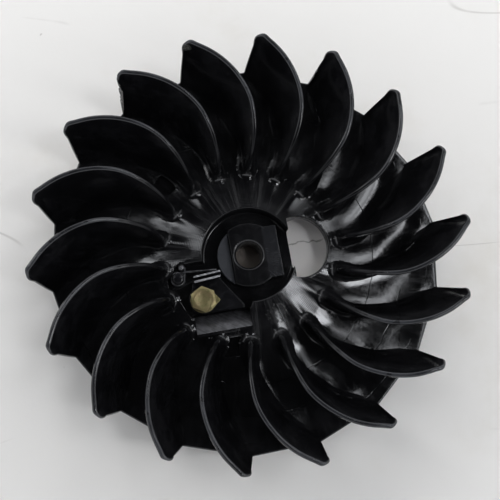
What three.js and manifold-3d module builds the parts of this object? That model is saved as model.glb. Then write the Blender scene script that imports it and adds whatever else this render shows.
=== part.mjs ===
// Cooling and blower flywheel: an open-faced fan wheel with eighteen curved blades on a dished
// disc, a hub boss with two flats, and a starter pawl on a shoulder bolt in a pocket of the disc.
//
// Millimetres, +Z up. The origin is on the wheel's axis in the plane of its back face, the
// blades stand up along +Z, and +X is square to the two flats of the hub boss.

import * as THREE from 'three';
import { mergeVertices } from 'three/addons/utils/BufferGeometryUtils.js';
import Module from 'manifold-3d';

const wasm = await Module();
wasm.setup();

// ---------------------------------------------------------------- driving dimensions

const GAP = 0.3;                    // clearance between separate pieces
const BLADES = 18;
const PITCH = 360 / BLADES;         // degrees from blade to blade

const TIP_RADIUS = 100;
const TIP_PHASE = -1;               // angle of the first blade's tip, degrees
const RIM_RADIUS = 94.5;            // to the corners of the eighteen-sided rim
const CORNER_PHASE = 1.2;           // angle of the first rim corner
const RIM_Z = 8;                    // upper edge of the rim
const RIM_THICKNESS = 5;
const DISH_RISE = 8;                // how far the floor climbs from the rim to the groove
const DISH_POWER = 2.2;             // how late it climbs
const DISC_TOP_Z = RIM_Z + DISH_RISE;
const WEB = 5;                      // wall of the dished web

const GROOVE_RADIUS = 22.5;         // outer wall of the groove round the hub
const GROOVE_Z = 7.5;               // floor of the groove and of the pawl pocket
const GROOVE_LIP = 0.8;             // bevel at the groove's mouth
const HUB_SEAT_Z = 2.5;             // back of the web round the hub
const HUB_SEAT_RADIUS = 26;
const BACK_RING = { inner: 84, outer: 90 };

const HUB_RADIUS = 15;
const BORE_RADIUS = 6.35;           // for a half-inch shaft
const BORE_CHAMFER = 1;
const HUB_LEDGE_Z = 11;             // the round ledge left beside the flat on the -X side
const HUB_TOP_Z = 14.5;
const HUB_TOP_RADIUS = 15.3;
const FLAT_MINUS_X = -8.3;
const FLAT_PLUS_X = 13.9;
const SHOULDER_HALF_WIDTH = 12.4;   // half the length of the +X flat

const WINDOW = { x: 24.2, radius: 14.8, flatX: 20.6 };

const PIVOT = { x: -25, y: -17.7 };
const PAWL_THICKNESS = 3;
const PAWL_Z = GROOVE_Z + GAP;
const PAWL_TOP_Z = PAWL_Z + PAWL_THICKNESS;
const FLANGE_TOP_Z = 16;
const PAWL_EYE_RADIUS = 6.9;
const SHOULDER_RADIUS = 4;
const THREAD_RADIUS = 3.175;        // quarter-inch thread
const THREAD_END_Z = 1.9;
const WASHER_THICKNESS = 1;
const WASHER_RADIUS = 6.1;
const WASHER_POINT = 8.2;           // reach of the washer's pointed tab from the pivot
const WASHER_ANGLE = -7;
const HEAD_ACROSS_FLATS = 11.1;     // seven-sixteenths hexagon
const HEAD_HEIGHT = 4.4;
const HEAD_CHAMFER = 0.7;
const HEAD_CHAMFER_DROP = 1.2;

const POST = { x: -35.2, y: -5.8, radius: 2.2, capRadius: 2.7, topZ: 15.5, capZ: 13.9, capBevel: 0.7 };
const PEG = { x: -32.9, y: -0.9, radius: 0.8, ballRadius: 1.6, ballZ: 14 };
const PIN_FOOT_Z = 4.3;             // how deep the post and the peg are set
const WIRE_RADIUS = 0.5;
const COIL_RADIUS = 3;
const COIL = { lowZ: 8.6, highZ: 12.2, fromDeg: -10, wholeTurns: 2 };
const LEG_END = { x: -16.5, y: -4.3 };    // free end of the leg that lies along the pawl
const PEG_LEG_Y = -0.4;                   // free end of the leg that bears on the peg

const RAMP = { x0: -30.5, x1: -4.2, footY: -25.2, crestY: -33.5, backY: -34.9, footZ: 8.3, crestZ: 13.6 };
const RECESS = { x: -14.8, y: -41.9, halfX: 5.3, halfY: 4.3, corner: 2.5, floorZ: 8.4 };
const BALANCE_HOLE = { radius: 5.2, pitchRadius: 53.3, angle: 129.5, floorZ: 7.6 };
const RIBS = 9;
const RIB = { inner: 25, outer: 85, lowZ: 1, thickness: 3, phase: 20, bite: 1, windowGap: 2.5 };

// Upper edge of a blade: radius, angle from the tip in degrees, height over the rim plane.
const FREE_EDGE = [
  [40.5, -17.6, 6.5],
  [43, -18.6, 15],
  [49, -19.7, 22.5],
  [58, -19.8, 28],
  [70, -17.8, 31.8],
  [82, -12.9, 34],
  [92, -7.2, 34.5],
  [98.8, -1.3, 34.2],
  [TIP_RADIUS, 0, 32],
];
// Root of a blade on the floor: radius, angle from the tip in degrees.
const ROOT_LINE = [
  [39.5, -17.8],
  [51, -17.4],
  [58.5, -15.3],
  [66.5, -12],
  [77, -7.4],
  [86, -2.2],
  [RIM_RADIUS, CORNER_PHASE - TIP_PHASE],
];
const ROOT_THICKNESS = 3.2;
const EDGE_THICKNESS = 2.3;
const BLADE_STATIONS = 12;
// Up one face, over the rounded edge and down the other: height as a share, half thickness as a share.
const BLADE_SECTION = [
  [0, 1], [0.5, 1], [0.93, 1], [1, 0.45],
  [1, -0.45], [0.93, -1], [0.5, -1], [0, -1],
];

// Outline of the pawl pocket. It opens into the groove on its hub side.
const POCKET_OUTLINE = [
  [-10, 0.6], [-34, 0.6], [-39.8, -2.6], [-40.2, -9.5], [-36.6, -14],
  [-33.2, -22.4], [-31.6, RAMP.footY], [-3.6, RAMP.footY], [-1.6, -21.2], [-8, -10],
];
// Thickened back of the web under the pocket.
const PAD_OUTLINE = [
  [-9, 4], [-36, 4], [-43.5, -2], [-44, -11], [-35.5, -26], [-34, -34], [-6, -34], [1, -20],
];
// The blade roots stop short of the pocket, its ramp and the recess by this outline.
const BLADE_KEEP_OUT = [
  [-10, 2.2], [-34.5, 2.2], [-41.6, -2], [-42, -10.5], [-38.6, -15.2],
  [-34.8, -27], [-32.2, -36.4], [-3, -36.4], [-1, -20],
];
// Outline of the pawl apart from its eye, in wheel coordinates.
const PAWL_OUTLINE = [
  [-25, -24.4], [-6.4, -24.4], [-5.6, -23], [-15.2, -8.6], [-15.2, -5.3], [-28, -6.1], [-30, -13],
];
const FLANGE_OUTLINE = [[-28, -9.5], [-15.3, -8.4], [-14.9, -5.1], [-28, -6.1]];

const PAST = 1;                     // how far a cutter reaches past what it cuts
const MERGE_DISTANCE = 1e-4;
const DISC_ROUND = 72;              // facets of the disc
const ROUND = 48;                   // facets of a large round
const SMALL_ROUND = 24;
const PIN_ROUND = 12;
const CORNER_ROUND = 4;             // facets of a small rounded corner
const BALL_STEPS = 6;
const WIRE_SIDES = 6;
const WIRE_STEPS = 64;
const FLOOR_RINGS = 9;
const FLOOR_CROWDING = 1.4;         // how much closer the rings lie near the groove
const RIB_STEPS = 3;

// ---------------------------------------------------------------- materials

const blackEnamel = { color: 0x0b0b0c, roughness: 0.22, metalness: 0 };
const darkSteel = { color: 0x17171a, roughness: 0.35, metalness: 0.4 };
const yellowZinc = { color: 0xb5a55c, roughness: 0.35, metalness: 0.9 };
const springSteel = { color: 0x8f9094, roughness: 0.3, metalness: 0.9 };

// ---------------------------------------------------------------- helpers

const radians = THREE.MathUtils.degToRad;

function polar(radius, degrees) {
  const a = radians(degrees);
  return new THREE.Vector2(radius * Math.cos(a), radius * Math.sin(a));
}

function solid(geometry) {
  const bare = geometry.clone();
  bare.deleteAttribute('normal');
  bare.deleteAttribute('uv');
  const merged = mergeVertices(bare, MERGE_DISTANCE);
  return new wasm.Manifold(new wasm.Mesh({
    numProp: 3,
    vertProperties: new Float32Array(merged.attributes.position.array),
    triVerts: new Uint32Array(merged.index.array),
  }));
}

function geometryOf(manifold) {
  const mesh = manifold.getMesh();
  const geometry = new THREE.BufferGeometry();
  geometry.setAttribute('position', new THREE.BufferAttribute(mesh.vertProperties, 3));
  geometry.setIndex(new THREE.BufferAttribute(mesh.triVerts, 1));
  geometry.computeVertexNormals();
  return geometry;
}

// A closed profile of [radius, z] pairs turned about the wheel's axis.
function turned(profile, segments) {
  const points = profile.map(([r, z]) => new THREE.Vector2(r, z));
  return new THREE.LatheGeometry(points, segments).rotateX(Math.PI / 2);
}

function turnedAt(profile, segments, place) {
  return turned(profile, segments).translate(place.x, place.y, 0);
}

function ringProfile(inner, outer, lowZ, highZ) {
  return [[inner, lowZ], [outer, lowZ], [outer, highZ], [inner, highZ], [inner, lowZ]];
}

function rodProfile(radius, lowZ, highZ) {
  return [[0, lowZ], [radius, lowZ], [radius, highZ], [0, highZ]];
}

function outline(points) {
  return new THREE.Shape(points.map(([x, y]) => new THREE.Vector2(x, y)));
}

function regularOutline(sides, radius, phase) {
  const corners = [];
  for (let i = 0; i < sides; i += 1) {
    const corner = polar(radius, phase + (i * 360) / sides);
    corners.push([corner.x, corner.y]);
  }
  return outline(corners);
}

function prism(shape, lowZ, highZ, curveSegments = ROUND) {
  const depth = highZ - lowZ;
  return new THREE.ExtrudeGeometry(shape, { depth, bevelEnabled: false, curveSegments })
    .translate(0, 0, lowZ);
}

// Height of the disc's floor: flat at the rim, climbing ever faster towards the groove.
function floorHeight(radius) {
  const share = (RIM_RADIUS - radius) / (RIM_RADIUS - GROOVE_RADIUS);
  return RIM_Z + DISH_RISE * Math.max(share, 0) ** DISH_POWER;
}

function alongRadius(table, column) {
  const interpolant = new THREE.CubicInterpolant(
    table.map((row) => row[0]),
    table.map((row) => row[column]),
    1,
  );
  return (radius) => interpolant.evaluate(radius)[0];
}

// ---------------------------------------------------------------- wheel disc

function floorRadii() {
  const radii = [];
  for (let i = 0; i <= FLOOR_RINGS; i += 1) {
    const share = (i / FLOOR_RINGS) ** FLOOR_CROWDING;
    radii.push(THREE.MathUtils.lerp(GROOVE_RADIUS + GROOVE_LIP, RIM_RADIUS, share));
  }
  return radii;
}

function discBody() {
  const past = RIM_RADIUS + PAST;
  const inside = floorRadii().filter((r) => r > HUB_SEAT_RADIUS + PAST && r < BACK_RING.inner - PAST);
  const profile = [
    [HUB_RADIUS + GAP, HUB_SEAT_Z],
    [HUB_SEAT_RADIUS, HUB_SEAT_Z],
    ...inside.map((r) => [r, floorHeight(r) - WEB]),
    [BACK_RING.inner, floorHeight(BACK_RING.inner) - WEB],
    [BACK_RING.inner, 0],
    [BACK_RING.outer, 0],
    [BACK_RING.outer, RIM_Z - RIM_THICKNESS],
    [past, RIM_Z - RIM_THICKNESS],
    [past, RIM_Z],
    ...floorRadii().reverse().map((r) => [r, floorHeight(r)]),
    [GROOVE_RADIUS, floorHeight(GROOVE_RADIUS) - GROOVE_LIP],
    [GROOVE_RADIUS, GROOVE_Z],
    [HUB_RADIUS + GAP, GROOVE_Z],
    [HUB_RADIUS + GAP, HUB_SEAT_Z],
  ];
  const rim = prism(regularOutline(BLADES, RIM_RADIUS, CORNER_PHASE), -PAST, DISC_TOP_Z + PAST);
  return solid(turned(profile, DISC_ROUND)).intersect(solid(rim));
}

// A stiffening rib under the web, from the hub seat to the back ring, interrupted at the window.
function backRib(degrees) {
  const crest = [];
  for (let i = 0; i <= RIB_STEPS; i += 1) {
    const r = THREE.MathUtils.lerp(RIB.outer, RIB.inner, i / RIB_STEPS);
    crest.push([r, floorHeight(r) - WEB + RIB.bite]);
  }
  const side = outline([[RIB.inner, RIB.lowZ], [RIB.outer, RIB.lowZ], ...crest]);
  const rib = prism(side, -RIB.thickness / 2, RIB.thickness / 2)
    .rotateX(Math.PI / 2)
    .rotateZ(radians(degrees));
  const nearWindow = rodProfile(WINDOW.radius + RIB.windowGap, -PAST, DISC_TOP_Z);
  return solid(rib).subtract(solid(turnedAt(nearWindow, ROUND, { x: WINDOW.x, y: 0 })));
}

function windowCut() {
  const shape = new THREE.Shape();
  const reach = Math.acos((WINDOW.flatX - WINDOW.x) / WINDOW.radius);
  shape.absarc(WINDOW.x, 0, WINDOW.radius, -reach, reach, false);
  shape.closePath();
  return solid(prism(shape, -PAST, DISC_TOP_Z + PAST, SMALL_ROUND));
}

// The ramp is the pocket's sloping side wall, with a short crest beyond it.
function rampBlock() {
  const side = outline([
    [RAMP.backY, HUB_SEAT_Z], [RAMP.footY, HUB_SEAT_Z], [RAMP.footY, RAMP.footZ],
    [RAMP.crestY, RAMP.crestZ], [RAMP.backY, RAMP.crestZ],
  ]);
  return prism(side, RAMP.x0, RAMP.x1).rotateX(Math.PI / 2).rotateZ(Math.PI / 2);
}

function rampCut() {
  const top = DISC_TOP_Z + PAST;
  const side = outline([
    [RAMP.footY, RAMP.footZ], [RAMP.footY, top], [RAMP.backY, top],
    [RAMP.backY, RAMP.crestZ], [RAMP.crestY, RAMP.crestZ],
  ]);
  return prism(side, RAMP.x0, RAMP.x1).rotateX(Math.PI / 2).rotateZ(Math.PI / 2);
}

function roundedRectangle({ x, y, halfX, halfY, corner }) {
  const shape = new THREE.Shape();
  shape.absarc(x + halfX - corner, y + halfY - corner, corner, 0, Math.PI / 2, false);
  shape.absarc(x - halfX + corner, y + halfY - corner, corner, Math.PI / 2, Math.PI, false);
  shape.absarc(x - halfX + corner, y - halfY + corner, corner, Math.PI, 1.5 * Math.PI, false);
  shape.absarc(x + halfX - corner, y - halfY + corner, corner, 1.5 * Math.PI, 2 * Math.PI, false);
  return shape;
}

function wheelDisc() {
  const top = DISC_TOP_Z + PAST;
  const hubClear = solid(turned(rodProfile(HUB_RADIUS + GAP, -PAST, top), DISC_ROUND));
  const hole = polar(BALANCE_HOLE.pitchRadius, BALANCE_HOLE.angle);
  let disc = discBody();
  for (let i = 0; i < RIBS; i += 1) {
    disc = disc.add(backRib(RIB.phase + (i * 360) / RIBS));
  }
  disc = disc.add(solid(prism(outline(PAD_OUTLINE), RIB.lowZ, GROOVE_Z)).subtract(hubClear));
  disc = disc.add(solid(rampBlock()));
  disc = disc.subtract(solid(rampCut()));
  disc = disc.subtract(windowCut());
  disc = disc.subtract(solid(prism(outline(POCKET_OUTLINE), GROOVE_Z, top)));
  disc = disc.subtract(solid(prism(roundedRectangle(RECESS), RECESS.floorZ, top, CORNER_ROUND)));
  disc = disc.subtract(
    solid(turnedAt(rodProfile(BALANCE_HOLE.radius, BALANCE_HOLE.floorZ, top), SMALL_ROUND, hole)),
  );
  const pins = [
    [PIVOT, THREAD_RADIUS, THREAD_END_Z],
    [POST, POST.radius, PIN_FOOT_Z],
    [PEG, PEG.radius, PIN_FOOT_Z],
  ];
  for (const [place, radius, footZ] of pins) {
    const bore = turnedAt(rodProfile(radius + GAP, footZ - GAP, top), SMALL_ROUND, place);
    disc = disc.subtract(solid(bore));
  }
  return disc;
}

// ---------------------------------------------------------------- blades

const freeAngle = alongRadius(FREE_EDGE, 1);
const freeHeight = alongRadius(FREE_EDGE, 2);
const rootAngle = alongRadius(ROOT_LINE, 1);

function freePoint(share) {
  const radius = THREE.MathUtils.lerp(FREE_EDGE[0][0], TIP_RADIUS, share);
  const p = polar(radius, freeAngle(radius));
  return new THREE.Vector3(p.x, p.y, RIM_Z + freeHeight(radius));
}

function rootPoint(share) {
  const radius = THREE.MathUtils.lerp(ROOT_LINE[0][0], RIM_RADIUS, share);
  const p = polar(radius, rootAngle(radius));
  return new THREE.Vector3(p.x, p.y, floorHeight(radius));
}

// Level direction square to a blade line, at a share of its length.
function sideways(line, share) {
  const step = 0.01;
  const along = line(Math.min(share + step, 1)).sub(line(Math.max(share - step, 0)));
  return new THREE.Vector3(-along.y, along.x, 0).normalize();
}

// Blade number 1, standing on the floor with its tip at angle zero.
function bladeBody() {
  const positions = [];
  for (let i = 0; i <= BLADE_STATIONS; i += 1) {
    const share = (1 - Math.cos((Math.PI * i) / BLADE_STATIONS)) / 2;
    const root = rootPoint(share);
    const free = freePoint(share);
    const side = [sideways(rootPoint, share), sideways(freePoint, share)];
    for (const [height, thickness] of BLADE_SECTION) {
      const half = (thickness * THREE.MathUtils.lerp(ROOT_THICKNESS, EDGE_THICKNESS, height)) / 2;
      const p = root.clone().lerp(free, height);
      p.addScaledVector(side[0].clone().lerp(side[1], height).normalize(), half);
      if (height === 0) {
        p.z = floorHeight(Math.hypot(p.x, p.y)) + GAP;
      }
      positions.push(p.x, p.y, p.z);
    }
  }
  const n = BLADE_SECTION.length;
  const faces = [];
  for (let i = 0; i < BLADE_STATIONS; i += 1) {
    for (let j = 0; j < n; j += 1) {
      const a = i * n + j;
      const b = i * n + ((j + 1) % n);
      faces.push(a, b, a + n, b, b + n, a + n);
    }
  }
  const last = BLADE_STATIONS * n;
  for (let j = 1; j < n - 1; j += 1) {
    faces.push(0, j + 1, j);
    faces.push(last, last + j, last + j + 1);
  }
  const geometry = new THREE.BufferGeometry();
  geometry.setAttribute('position', new THREE.Float32BufferAttribute(positions, 3));
  geometry.setIndex(faces);
  return solid(geometry);
}

// ---------------------------------------------------------------- hub boss

function hubBoss() {
  const ledge = solid(turned(ringProfile(BORE_RADIUS, HUB_RADIUS, 0, HUB_LEDGE_Z), ROUND));
  const top = new THREE.Shape();
  const meetsBlock = Math.asin(SHOULDER_HALF_WIDTH / HUB_TOP_RADIUS);
  const meetsFlat = Math.acos(FLAT_MINUS_X / HUB_TOP_RADIUS);
  top.moveTo(FLAT_PLUS_X, -SHOULDER_HALF_WIDTH);
  top.lineTo(FLAT_PLUS_X, SHOULDER_HALF_WIDTH);
  top.absarc(0, 0, HUB_TOP_RADIUS, meetsBlock, meetsFlat, false);
  top.absarc(0, 0, HUB_TOP_RADIUS, -meetsFlat, -meetsBlock, false);
  const slab = solid(prism(top, GROOVE_Z + GAP, HUB_TOP_Z, PIN_ROUND));
  const countersink = [
    [0, -PAST], [BORE_RADIUS, -PAST], [BORE_RADIUS, HUB_TOP_Z - BORE_CHAMFER],
    [BORE_RADIUS + 2 * BORE_CHAMFER, HUB_TOP_Z + BORE_CHAMFER], [0, HUB_TOP_Z + BORE_CHAMFER],
  ];
  return ledge.add(slab).subtract(solid(turned(countersink, ROUND)));
}

// ---------------------------------------------------------------- starter pawl and its bolt

function pawl() {
  const plate = solid(prism(outline(PAWL_OUTLINE), PAWL_Z, PAWL_TOP_Z));
  const eye = solid(turnedAt(rodProfile(PAWL_EYE_RADIUS, PAWL_Z, PAWL_TOP_Z), ROUND, PIVOT));
  const flange = solid(prism(outline(FLANGE_OUTLINE), PAWL_Z, FLANGE_TOP_Z));
  const hole = rodProfile(SHOULDER_RADIUS + GAP, 0, FLANGE_TOP_Z);
  return plate.add(eye).add(flange).subtract(solid(turnedAt(hole, ROUND, PIVOT)));
}

const WASHER_Z = PAWL_TOP_Z + GAP;
const HEAD_Z = WASHER_Z + WASHER_THICKNESS + GAP;
const HEAD_TOP_Z = HEAD_Z + HEAD_HEIGHT;

function tabWasher() {
  const opening = Math.acos(WASHER_RADIUS / WASHER_POINT);
  const shape = new THREE.Shape();
  shape.moveTo(WASHER_POINT, 0);
  shape.absarc(0, 0, WASHER_RADIUS, opening, 2 * Math.PI - opening, false);
  const hole = new THREE.Path();
  hole.absarc(0, 0, SHOULDER_RADIUS + GAP, 0, 2 * Math.PI, true);
  shape.holes.push(hole);
  return solid(
    prism(shape, WASHER_Z, WASHER_Z + WASHER_THICKNESS, SMALL_ROUND)
      .rotateZ(radians(WASHER_ANGLE))
      .translate(PIVOT.x, PIVOT.y, 0),
  );
}

function pivotBolt() {
  const corner = HEAD_ACROSS_FLATS / 2 / Math.cos(Math.PI / 6);
  const crown = corner - 2 * HEAD_CHAMFER;
  const hexagon = solid(
    prism(regularOutline(6, corner, 90), HEAD_Z, HEAD_TOP_Z).translate(PIVOT.x, PIVOT.y, 0),
  );
  const turnedHead = solid(turnedAt([
    [0, HEAD_Z], [corner + PAST, HEAD_Z], [corner + PAST, HEAD_TOP_Z - HEAD_CHAMFER_DROP],
    [crown, HEAD_TOP_Z], [0, HEAD_TOP_Z],
  ], ROUND, PIVOT));
  const shank = solid(turnedAt([
    [0, THREAD_END_Z], [THREAD_RADIUS, THREAD_END_Z], [THREAD_RADIUS, PAWL_Z],
    [SHOULDER_RADIUS, PAWL_Z], [SHOULDER_RADIUS, HEAD_Z + PAST], [0, HEAD_Z + PAST],
  ], SMALL_ROUND, PIVOT));
  return hexagon.intersect(turnedHead).add(shank);
}

// ---------------------------------------------------------------- return spring

function springPost() {
  return solid(turnedAt([
    [0, PIN_FOOT_Z], [POST.radius, PIN_FOOT_Z], [POST.radius, POST.capZ],
    [POST.capRadius, POST.capZ], [POST.capRadius, POST.topZ - POST.capBevel],
    [POST.capRadius - POST.capBevel, POST.topZ], [0, POST.topZ],
  ], SMALL_ROUND, POST));
}

function springPeg() {
  const profile = [[0, PIN_FOOT_Z], [PEG.radius, PIN_FOOT_Z]];
  const neck = Math.asin(PEG.radius / PEG.ballRadius);
  for (let i = 0; i <= BALL_STEPS; i += 1) {
    const a = THREE.MathUtils.lerp(neck, Math.PI, i / BALL_STEPS);
    const radius = i === BALL_STEPS ? 0 : PEG.ballRadius * Math.sin(a);
    profile.push([radius, PEG.ballZ - PEG.ballRadius * Math.cos(a)]);
  }
  return solid(turnedAt(profile, PIN_ROUND, PEG));
}

// Round wire: a leg from the peg, a clockwise coil climbing the post, a leg along the pawl.
class Coil extends THREE.Curve {
  constructor(fromDeg, sweepDeg) {
    super();
    this.fromDeg = fromDeg;
    this.sweepDeg = sweepDeg;
  }

  getPoint(share, target = new THREE.Vector3()) {
    const p = polar(COIL_RADIUS, this.fromDeg - this.sweepDeg * share);
    const z = THREE.MathUtils.lerp(COIL.lowZ, COIL.highZ, share);
    return target.set(POST.x + p.x, POST.y + p.y, z);
  }
}

function returnSpring() {
  const toEnd = new THREE.Vector2(LEG_END.x - POST.x, LEG_END.y - POST.y);
  const leavesAt = THREE.MathUtils.radToDeg(toEnd.angle() + Math.acos(COIL_RADIUS / toEnd.length()));
  const coil = new Coil(COIL.fromDeg, 360 * (COIL.wholeTurns + 1) + COIL.fromDeg - leavesAt);
  const foot = coil.getPoint(0);
  const rise = PEG_LEG_Y - foot.y;
  const pegEnd = new THREE.Vector3(foot.x - rise * Math.tan(radians(COIL.fromDeg)), PEG_LEG_Y, foot.z);
  const wire = new THREE.CurvePath();
  wire.add(new THREE.LineCurve3(pegEnd, foot));
  wire.add(coil);
  wire.add(new THREE.LineCurve3(coil.getPoint(1), new THREE.Vector3(LEG_END.x, LEG_END.y, COIL.highZ)));
  return new THREE.ExtrudeGeometry(regularOutline(WIRE_SIDES, WIRE_RADIUS, 0), {
    steps: WIRE_STEPS,
    bevelEnabled: false,
    extrudePath: wire,
  });
}

// ---------------------------------------------------------------- assembly

const wheel = new THREE.Group();

function addPart(name, geometry, finish, parent = wheel) {
  const mesh = new THREE.Mesh(geometry, new THREE.MeshStandardMaterial(finish));
  mesh.name = name;
  parent.add(mesh);
  return mesh;
}

addPart('wheel_disc', geometryOf(wheelDisc()), blackEnamel);

const keepOut = solid(prism(outline(BLADE_KEEP_OUT), 0, TIP_RADIUS));
const blade = bladeBody();
for (let i = 0; i < BLADES; i += 1) {
  const turn = TIP_PHASE + i * PITCH;
  const trimmed = blade.rotate([0, 0, turn]).subtract(keepOut);
  addPart(`blade_${String(i + 1).padStart(2, '0')}`, geometryOf(trimmed), blackEnamel);
}

addPart('hub_boss', geometryOf(hubBoss()), blackEnamel);
addPart('starter_pawl', geometryOf(pawl()), darkSteel);
addPart('tab_washer', geometryOf(tabWasher()), yellowZinc);
addPart('pivot_bolt', geometryOf(pivotBolt()), yellowZinc);
addPart('spring_post', geometryOf(springPost()), darkSteel);
addPart('spring_peg', geometryOf(springPeg()), springSteel);
addPart('return_spring', returnSpring(), springSteel);

export default wheel;
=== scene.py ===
"""Looks for the cooling and blower flywheel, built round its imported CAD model.

Lengths are millimetres until new_object() turns them into metres. The wheel's axis is the Z axis, and its back
face lies on z = 0. Angles are degrees.
"""

import math

import bmesh
import bpy
import numpy as np
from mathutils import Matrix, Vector


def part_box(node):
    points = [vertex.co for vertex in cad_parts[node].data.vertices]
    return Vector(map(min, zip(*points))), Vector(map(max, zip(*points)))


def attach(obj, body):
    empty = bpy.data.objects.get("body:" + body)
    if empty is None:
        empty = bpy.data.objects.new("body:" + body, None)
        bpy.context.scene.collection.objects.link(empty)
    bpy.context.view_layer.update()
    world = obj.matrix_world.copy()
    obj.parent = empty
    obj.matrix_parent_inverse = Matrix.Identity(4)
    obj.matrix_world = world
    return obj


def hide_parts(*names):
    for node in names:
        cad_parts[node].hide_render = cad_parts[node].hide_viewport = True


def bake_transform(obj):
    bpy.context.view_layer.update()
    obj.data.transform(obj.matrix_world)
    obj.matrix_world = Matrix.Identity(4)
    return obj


MM = 0.001

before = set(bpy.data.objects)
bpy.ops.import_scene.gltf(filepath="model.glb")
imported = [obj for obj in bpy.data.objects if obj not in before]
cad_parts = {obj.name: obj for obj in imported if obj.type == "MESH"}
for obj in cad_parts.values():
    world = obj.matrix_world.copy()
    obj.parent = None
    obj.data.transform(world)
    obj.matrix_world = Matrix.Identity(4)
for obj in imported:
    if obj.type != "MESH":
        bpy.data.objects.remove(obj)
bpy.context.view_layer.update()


def cad(node):
    """Lowest and highest corner of a CAD node."""
    low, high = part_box(node)
    return np.array(low) / MM, np.array(high) / MM


def middle(node):
    low, high = cad(node)
    return (low + high)[:2] / 2


# ---------------------------------------------------------------- driving dimensions

BLADES = 18
PITCH = 360 / BLADES
TIP_PHASE = -1
CORNER_PHASE = 1.2
RIM_RADIUS = 94.5
RIM_Z = 8
RIM_THICKNESS = 5
DISH_RISE = 8
DISH_POWER = 2.2
WEB = 5
BACK_RING = (84, 90)
HUB_SEAT = (26, 2.5)  # radius and height of the seat on the web's back
GROOVE_RADIUS = 22.5
GROOVE_Z = 7.5
CHANNEL_DEPTH = 1.15  # how far the floor between two blades sags

HUB_RADIUS = 15
HUB_JOINT = 0.15  # open line between the boss and the disc
BORE_RADIUS = 6.35
BORE_CHAMFER = 1
LEDGE_Z = 11
HUB_HEAD_RADIUS = 15.3
HUB_HEAD_Z = 7.8
HUB_FLAT_HALF = 12.4
HUB_FLAT_MINUS_X = -8.3
HUB_FLAT_PLUS_X = cad("hub_boss")[1][0]
HUB_TOP_Z = cad("hub_boss")[1][2]

WINDOW = {"x": 24.2, "radius": 14.8, "flat_x": 20.6}
RAMP = {
    "x0": -30.5, "x1": -4.2,
    "foot_y": -25.2, "foot_z": 8.3,
    "crest_y": -33.5, "crest_z": 13.6,
    "back_y": -34.9,
}
RECESS = {"x": -14.8, "y": -41.9, "half_x": 5.3, "half_y": 4.3, "z": 8.4}
ROUND_HOLLOW = {"radius": 5.2, "pitch_radius": 53.3, "angle": 129.5, "z": 7.6}
RIBS = 9
RIB = {"inner": 25, "outer": 85, "low_z": 1, "thickness": 3, "phase": 20, "window_gap": 2.5}

PIVOT = middle("pivot_bolt")
POST = middle("spring_post")
PEG = middle("spring_peg")
PIN_HOLES = [(PIVOT, 3.4), (POST, 2.5), (PEG, 1.1)]  # place and radius
PIN_HOLE_Z = 4
PAWL_Z = cad("starter_pawl")[0][2]
PAWL_THICKNESS = 3
FLANGE_TOP_Z = cad("starter_pawl")[1][2]
PAWL_EYE_RADIUS = 6.9
PAWL_HOLE_RADIUS = 4.3
WIRE_RADIUS = 0.5
COIL_RADIUS = 3
COIL_TURNS = 2
LEG_END = (-16.5, -4.3)
COIL_START = -10  # direction from the post to the coil's first point
PEG_LEG_Y = -0.4  # where the short leg ends, beside the peg
BOLT = {"end": 2.6, "shank": 3.175, "shoulder": 4, "shoulder_z": 7.8}  # radii, and the shoulder's lower face
WASHER = {"hole": 4.3, "radius": 6.1, "point": 8.2, "point_angle": -7}
POST_RADIUS = 2.2
POST_CAP_THICKNESS = 1.6
PEG_RADIUS = 0.8

# The free boundary of a blade from its hub end over the top and down to the rim:
# radius, angle from the tip, height over the rim's plane.
FREE_EDGE = [
    (40.4, -17.5, 3.9),
    (40.6, -17.7, 7),
    (43, -18.6, 15),
    (49, -19.7, 22.5),
    (58, -19.8, 28),
    (70, -17.8, 31.8),
    (82, -12.9, 34),
    (92, -7.2, 34.4),
    (97.3, -3.3, 34.4),
    (99.75, -1.5, 34.0),
    (100.1, 0.0, 31.5),
    (98.6, 0.6, 23.5),
    (96.4, 1.5, 11),
    (94.4, 2.2, -0.4),
]
# Root of a blade on the floor: radius, angle from the tip.
ROOT_LINE = [(39.5, -17.8), (51, -17.4), (58.5, -15.3), (66.5, -12), (77, -7.4), (86, -2.2), (94.5, 2.2)]
ROOT_FROM = 41.8
ROOT_TO = 93.6
SHIFT_UP_TO = 62  # from this radius outwards a blade keeps its place when its hub end is moved
ROOT_HALF = 1.6
EDGE_HALF = 1.15
FILLET = 2.2
FILLET_AT_HUB_END = 3.9
SINK = 0.4  # how far a blade's foot goes under the floor
BLADE_STATIONS = 160
NOSE_LENGTH = 7  # stretch of the free edge at the hub end that has its own, closer stations
NOSE_STATIONS = 30
TIP_CORNER_RADIUS = 97  # from here outwards the blade's section keeps its direction
BLADE_ROWS = (0, 0.014, 0.022, 0.032, 0.045, 0.06, 0.08, 0.11, 0.15, 0.21, 0.3, 0.42, 0.56, 0.7, 0.85, 1)
CREST_TURNS = np.linspace(0, math.pi, 10)[1:-1]  # angles of the points round a blade's rounded crest

CUT_FROM = -1  # lower and upper end of a cutter that goes right through
CUT_TO = 30

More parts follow.
